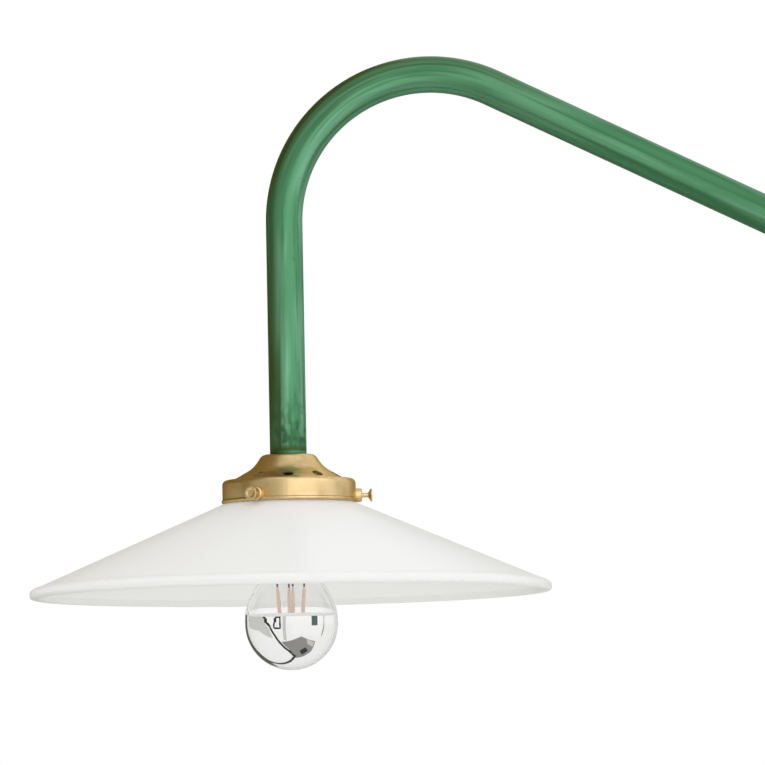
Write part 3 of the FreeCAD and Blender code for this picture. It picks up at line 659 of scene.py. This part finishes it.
# the ridge of the thread on the open part of a thumb screw's shank
def makeScrewThread(number, material):
    middle = middleOf(f"thumb_screw_{number}")
    outward = middle - headAxis
    outward.z = 0
    outward.normalize()
    sideways = alongZ.cross(outward)
    perTurn = screwThread["stepsPerTurn"]
    count = round((screwThread["end"] - screwThread["start"]) / screwThread["pitch"] * perTurn)
    start = bossFace() + screwThread["start"]
    half = outward * screwThread["halfWidth"]
    rings = []
    for step in range(count + 1):
        turn = 2 * math.pi * step / perTurn
        away = math.cos(turn) * sideways + math.sin(turn) * alongZ
        fade = min(1, step / perTurn, (count - step) / perTurn)
        root = headAxis + alongZ * middle.z + outward * (start + screwThread["pitch"] * step / perTurn)
        foot = away * (screwThread["shankRadius"] - screwThread["sunk"])
        crest = away * (screwThread["shankRadius"] + fade * screwThread["height"])
        rings.append([root + foot - half, root + crest, root + foot + half])
    addPiece(f"screwThread{number}", [skinOf(rings)], material, f"screw_{number}")


filaments = {
    "count": 4,
    "turn": math.radians(-81),
    "topDrop": 0.0016,
    "topCircle": 0.0088,
    "footCircle": 0.0066,
    "radius": 0.00125,
    "tipRadius": 0.00055,
    "taper": 0.0042,
    "round": 0.0005,
    "tipCorner": (0.4, 0.6),           # shares of the rounding's length and of the radius
    "footCorner": (0.3, 0.8),
    "footEnd": 0.5,
    "sides": 20,
}


def filamentEnds(number):
    low, high = cornersOf("lamp_filaments")
    turn = filaments["turn"] + 2 * math.pi * number / filaments["count"]
    away = Vector((math.cos(turn), math.sin(turn), 0))
    top = headAxis + alongZ * (high.z - filaments["topDrop"]) + away * filaments["topCircle"]
    foot = headAxis + alongZ * low.z + away * filaments["footCircle"]
    return top, foot


# depth below the filament's top, and radius there
def filamentOutline(length):
    radius, tip, soft = filaments["radius"], filaments["tipRadius"], filaments["round"]
    tipDepth, tipShare = filaments["tipCorner"]
    footDepth, footShare = filaments["footCorner"]
    return [(0, tip * tipShare), (soft * tipDepth, tip), (filaments["taper"], radius),
            (length / 2, radius), (length - soft, radius),
            (length - soft * footDepth, radius * footShare), (length, radius * filaments["footEnd"])]


def makeFilaments(material):
    skins = []
    for number in range(filaments["count"]):
        top, foot = filamentEnds(number)
        downward = (foot - top).normalized()
        across = downward.cross(alongX).normalized()
        up = downward.cross(across)
        rings = [ringAt(top + downward * depth, across, up, radius, filaments["sides"])
                 for depth, radius in filamentOutline((foot - top).length)]
        skins.append(skinOf(rings))
    piece = addPiece("lampFilaments", skins, material, "lamp")
    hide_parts("lamp_filaments")


leadWires = {
    "radius": 0.00032,
    "sleeveRadius": 0.00062,
    "sleeveLength": 0.0026,
    "kneeDrop": 0.0006,                # below the stem
    "kneeReaches": (0.0030, 0.0090),   # from the axis, in turn
    "hubDrop": 0.0022,                 # below the filaments' feet
    "gap": 0.0001,                     # between a wire's end and what it meets
    "boardReach": 0.0057,
    "flareReach": 0.0036,
    "flareDepth": 0.0008,
    "resolution": 4,
}


def addWire(curve, points, thickness=1.0):
    spline = curve.splines.new("POLY")
    spline.points.add(len(points) - 1)
    for number, point in enumerate(points):
        spline.points[number].co = (*point, 1)
        spline.points[number].radius = thickness


# wires from the stem to the filaments' tops, a thicker sleeve on each, and the star that joins their feet
def addFilamentWires(curve):
    stemFoot = headAxis + alongZ * (cornersOf("lamp_stem")[0].z - leadWires["gap"])
    hub = headAxis + alongZ * (cornersOf("lamp_wires")[0].z + leadWires["radius"])
    for number in range(filaments["count"]):
        top, foot = filamentEnds(number)
        away = Vector((top.x, top.y - headAxis.y, 0)).normalized()
        upward = (top - foot).normalized()
        sleeve = top + upward * leadWires["sleeveLength"]
        reach = leadWires["kneeReaches"][number % 2]
        knee = headAxis + alongZ * (stemFoot.z - leadWires["kneeDrop"]) + away * reach
        addWire(curve, [top, sleeve], leadWires["sleeveRadius"] / leadWires["radius"])
        addWire(curve, [stemFoot, knee, sleeve])
        addWire(curve, [foot - upward * leadWires["gap"], foot - upward * leadWires["hubDrop"], hub])


# two wires from the stem's flare up to the driver board
def addBoardWires(curve):
    boardFoot = cornersOf("lamp_driver")[0].z - leadWires["gap"]
    flareTop = cornersOf("lamp_stem")[1].z - leadWires["flareDepth"]
    for side in (-1, 1):
        board = Vector((side * leadWires["boardReach"], headAxis.y, boardFoot))
        flare = Vector((side * leadWires["flareReach"], headAxis.y, flareTop))
        addWire(curve, [board, flare])


def makeLampWires(material):
    curve = bpy.data.curves.new("lampWires", "CURVE")
    curve.dimensions = "3D"
    curve.bevel_depth = leadWires["radius"]
    curve.bevel_resolution = leadWires["resolution"]
    curve.use_fill_caps = True
    addFilamentWires(curve)
    addBoardWires(curve)
    curve.materials.append(material)
    piece = bpy.data.objects.new("lampWires", curve)
    bpy.context.collection.objects.link(piece)
    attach(piece, "lamp")
    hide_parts("lamp_wires")


camera = {
    "place": (5.0, -0.7676, -0.0222),
    "pitch": 4.067,
    "roll": -1.1,
    "lens": 360.73,
    "sensor": 36,
    "farthest": 100,
}


def setCamera():
    data = bpy.data.cameras.new("camera")
    data.lens = camera["lens"]
    data.sensor_width = camera["sensor"]
    data.clip_end = camera["farthest"]
    holder = bpy.data.objects.new("camera", data)
    bpy.context.collection.objects.link(holder)
    look = Matrix.Rotation(math.radians(90), 4, "Z")
    tilt = Matrix.Rotation(math.radians(90 + camera["pitch"]), 4, "X")
    roll = Matrix.Rotation(math.radians(camera["roll"]), 4, "Z")
    holder.matrix_world = Matrix.Translation(camera["place"]) @ look @ tilt @ roll
    bpy.context.scene.camera = holder


stage = {
    "floorDrop": 0.25,
    "floorSize": 60.0,
    "floorColor": (0.84, 0.84, 0.83),
    "floorGrain": (0.83, 0.83, 0.82),
    "grainScale": 40,
    "roughness": 0.6,
    "mirroredFloor": (0.42, 0.43, 0.38),      # as metal and lacquer see it
    "floorInMirror": (0.97, 0.97, 0.96),      # as the lamp's mirror sees it, through the glass
}


# the floor keeps its shadows, and metal and glass see it in a plain tone
def floorMaterial():
    material, tree = newMaterial("floorPaint")
    shader = shaderOf(tree)
    grain = noiseOf(tree, objectPlace(tree), stage["grainScale"])
    setInputs(tree, shader, {
        "Base Color": mixColor(tree, grain, stage["floorColor"], stage["floorGrain"]),
        "Roughness": stage["roughness"],
    })
    path = addNode(tree, "ShaderNodeLightPath")
    surface = shader.outputs[0]
    for ray, tone in (("Is Glossy Ray", "mirroredFloor"), ("Is Transmission Ray", "floorInMirror")):
        surface = mixShader(tree, path.outputs[ray], surface, plainTone(tree, stage[tone]))
    tree.links.new(surface, tree.nodes["Material Output"].inputs["Surface"])
    return material


def makeFloor():
    place = (0, headAxis.y / 2, cadBox[0][2] - stage["floorDrop"])
    bpy.ops.mesh.primitive_plane_add(size=stage["floorSize"], location=place)
    floor = bpy.context.object
    floor.name = "floor"
    floor.data.materials.append(floorMaterial())


# studio cards that only reflections see, in degrees: azimuth 0 points at the camera, a negative azimuth is
# on the camera's left, and a positive rise is up. Only the cards around the lamp show through its glass.
cards = {
    "brownFlag": {"azimuth": (-178, -66), "rise": (-36, 72), "reach": 0.9, "centre": "head",
                  "color": (0.25, 0.195, 0.075)},
    "greyFlag": {"azimuth": (-66, -8), "rise": (-34, 58), "reach": 0.9, "centre": "head",
                 "color": (0.60, 0.585, 0.50)},
    "backFlag": {"azimuth": (140, 220), "rise": (-30, 30), "reach": 1.2, "centre": "arm",
                 "color": (0.38, 0.40, 0.32)},
    "softBox": {"azimuth": (-4, 80), "rise": (-34, 58), "reach": 0.95, "centre": "head",
                "color": (1.52, 1.50, 1.48)},
    "panelFrame": {"line": [(-81, 10), (-56, -6), (-46, -30), (-38, -52), (-19, -73), (99, -85),
                            (-170, -70), (-158, -45), (-152, -25), (-151, -8), (-156, 4)],
                   "width": 5, "reach": 0.50, "centre": "lamp", "color": (0.04, 0.05, 0.04)},
    "panelEdge": {"outline": [(-147, 9), (-168, 8), (-172, -10), (-170, -26), (-158, -34), (-149, -33),
                              (-145, -25), (-145, -8)],
                  "reach": 0.52, "centre": "lamp", "color": (0.15, 0.16, 0.14)},
    "panelShade": {"outline": [(-140, 8), (-85, 11), (-58, -11), (-55, -34), (-91, -12), (-133, -2)],
                   "reach": 0.54, "centre": "lamp", "color": (0.62, 0.62, 0.60)},
    "studioTable": {"outline": [(-34, -46), (28, -34), (78, -38), (100, -56), (118, -71), (145, -80),
                                (-16, -68)],
                    "reach": 0.54, "centre": "lamp", "color": (0.30, 0.29, 0.28)},
    "tableShadow": {"outline": [(58, -57), (84, -60), (92, -73), (48, -70)],
                    "reach": 0.42, "centre": "lamp", "color": (0.05, 0.05, 0.05)},
    "tableCloth": {"outline": [(46, -38), (76, -41), (84, -50), (54, -48)],
                   "reach": 0.42, "centre": "lamp", "color": (0.60, 0.58, 0.57)},
    "studioDoor": {"outline": [(52, 9), (69, 9), (69, -6), (52, -7)],
                   "reach": 0.54, "centre": "lamp", "color": (0.12, 0.15, 0.15)},
    "studioStrip": {"outline": [(-21, 8), (-13, 8), (-15, -44), (-24, -44)],
                    "reach": 0.56, "centre": "lamp", "color": (0.62, 0.62, 0.60)},
    "studioStand": {"line": [(-45, -8), (-42, 1), (-36, 4), (-28, 4), (-28, -5), (-28, -13), (-37, -13),
                             (-43, -12), (-45, -8)],
                    "width": 4.5, "reach": 0.52, "centre": "lamp", "color": (0.05, 0.05, 0.06)},
}
cardColumns = 16
cardRows = 8


def directionOf(azimuth, rise):
    turn, tilt = math.radians(azimuth), math.radians(rise)
    return Vector((math.cos(tilt) * math.cos(turn), math.cos(tilt) * math.sin(turn), math.sin(tilt)))


# a strip of even width along a line of directions
def stripSkin(card, centre):
    directions = [directionOf(*corner) for corner in card["line"]]
    last = len(directions) - 1
    half = math.radians(card["width"]) / 2
    points = []
    for number, here in enumerate(directions):
        ahead = directions[min(number + 1, last)] - directions[max(number - 1, 0)]
        sideways = here.cross(ahead).normalized() * half
        points += [centre + card["reach"] * (here - sideways), centre + card["reach"] * (here + sideways)]
    return points, [(first, first + 1, first + 3, first + 2) for first in range(0, 2 * last, 2)]


# a patch of a sphere between two azimuths and two rises
def patchSkin(card, centre):
    (left, right), (low, high) = card["azimuth"], card["rise"]
    points = []
    for column in range(cardColumns + 1):
        azimuth = left + (right - left) * column / cardColumns
        for row in range(cardRows + 1):
            rise = low + (high - low) * row / cardRows
            points.append(centre + card["reach"] * directionOf(azimuth, rise))
    starts = [column * (cardRows + 1) + row for column in range(cardColumns) for row in range(cardRows)]
    return points, [(start, start + 1, start + cardRows + 2, start + cardRows + 1) for start in starts]


def cardSkin(card, centre):
    if "line" in card:
        return stripSkin(card, centre)
    if "azimuth" in card:
        return patchSkin(card, centre)
    points = [centre + card["reach"] * directionOf(*corner) for corner in card["outline"]]
    return points, [tuple(range(len(points)))]


def makeCards():
    centres = {"head": headAxis + alongZ * headTop, "lamp": lampMiddle,
               "arm": Vector((0, (headAxis.y + legAxis.y) / 2, headTop))}
    for name, card in cards.items():
        points, faces = cardSkin(card, centres[card["centre"]])
        mesh = bpy.data.meshes.new(name)
        mesh.from_pydata([tuple(point) for point in points], [], faces)
        material, tree = newMaterial(name)
        tree.nodes.clear()
        addNode(tree, "ShaderNodeOutputMaterial", {"Surface": plainTone(tree, card["color"])})
        mesh.materials.append(material)
        piece = bpy.data.objects.new(name, mesh)
        bpy.context.collection.objects.link(piece)
        piece.visible_camera = False
        piece.visible_shadow = False
        piece.visible_diffuse = False
        piece.visible_transmission = card["centre"] == "lamp"


lights = [
    {"name": "keyLight", "place": (4.1, 1.6, 1.7), "size": 3.9, "power": 46},
    {"name": "topLight", "place": (0.1, -0.9, 2.4), "size": 2.4, "power": 8},
]


def makeLights():
    aim = Vector((0, headAxis.y, headTop))
    for light in lights:
        data = bpy.data.lights.new(light["name"], "AREA")
        data.shape = "DISK"
        data.size = light["size"]
        data.energy = light["power"]
        holder = bpy.data.objects.new(light["name"], data)
        holder.location = light["place"]
        holder.rotation_euler = (aim - Vector(light["place"])).to_track_quat("-Z", "Y").to_euler()
        holder.visible_glossy = False         # reflections see the cards instead
        holder.visible_transmission = False
        bpy.context.collection.objects.link(holder)


world = {
    "room": {"Color": (1.0, 1.0, 1.0, 1.0), "Strength": 0.87},
    "backdrop": {"Color": (1.0, 1.0, 1.0, 1.0), "Strength": 1.0},
}


# pieces are lit by the room, and the camera, reflections and glass see the white backdrop
def makeWorld():
    sky = bpy.data.worlds.new("studio")
    bpy.context.scene.world = sky
    sky.use_nodes = True
    tree = sky.node_tree
    tree.nodes.clear()
    path = addNode(tree, "ShaderNodeLightPath").outputs
    seen = mathOf(tree, "MAXIMUM", path["Is Camera Ray"], path["Is Glossy Ray"])
    seen = mathOf(tree, "MAXIMUM", seen, path["Is Transmission Ray"])
    room = addNode(tree, "ShaderNodeBackground", world["room"]).outputs[0]
    backdrop = addNode(tree, "ShaderNodeBackground", world["backdrop"]).outputs[0]
    addNode(tree, "ShaderNodeOutputWorld", {"Surface": mixShader(tree, seen, room, backdrop)})


def makeFinishes():
    finishes = {slot: madeMaterial(**finish) for slot, finish in madeFinishes.items()}
    finishes["tubeLacquer"] = lacquerMaterial("tubeLacquer", placeOnTube, lacquer["tubeWear"])
    finishes["green_lacquer"] = lacquerMaterial("bracketLacquer", placeOnBracket, lacquer["bracketWear"])
    finishes["brass"] = brassMaterial("spunBrass", headAxis)
    finishes["brassLeg"] = brassMaterial("turnedBrass", legAxis)
    finishes["opal_glass"] = opalMaterial()
    finishes["clear_glass"] = clearGlassMaterial()
    finishes["filament"] = phosphorMaterial()
    return finishes


def dressNodes(finishes):
    slots = {part["node"]: part["material_slot"] for part in frame["record"]["subparts"]}
    for name, node in nodes.items():
        slot = slots[name]
        if slot == "brass" and middleOf(name).y > headAxis.y / 2:
            slot = "brassLeg"
        node.data.materials.clear()
        node.data.materials.append(finishes[slot])
    nodes["lamp_glass"].visible_shadow = False      # the lamps' light reaches what is inside the glass


makeWorld()
setCamera()
makeFloor()
makeLights()
makeCards()
print("stage and lights set")

finishes = makeFinishes()
dressNodes(finishes)
print("frame pieces dressed")

makeArmTube(finishes["tubeLacquer"])
makeLampCap(finishes["nickel"])
makeScrewShell(finishes["nickel"])
for number in (1, 2, 3):
    makeScrewThread(number, finishes["brass"])
makeFilaments(finishes["filament"])
makeLampWires(finishes["lead_wire"])
print("own pieces made")

bpy.context.scene.view_settings.view_transform = "Standard"
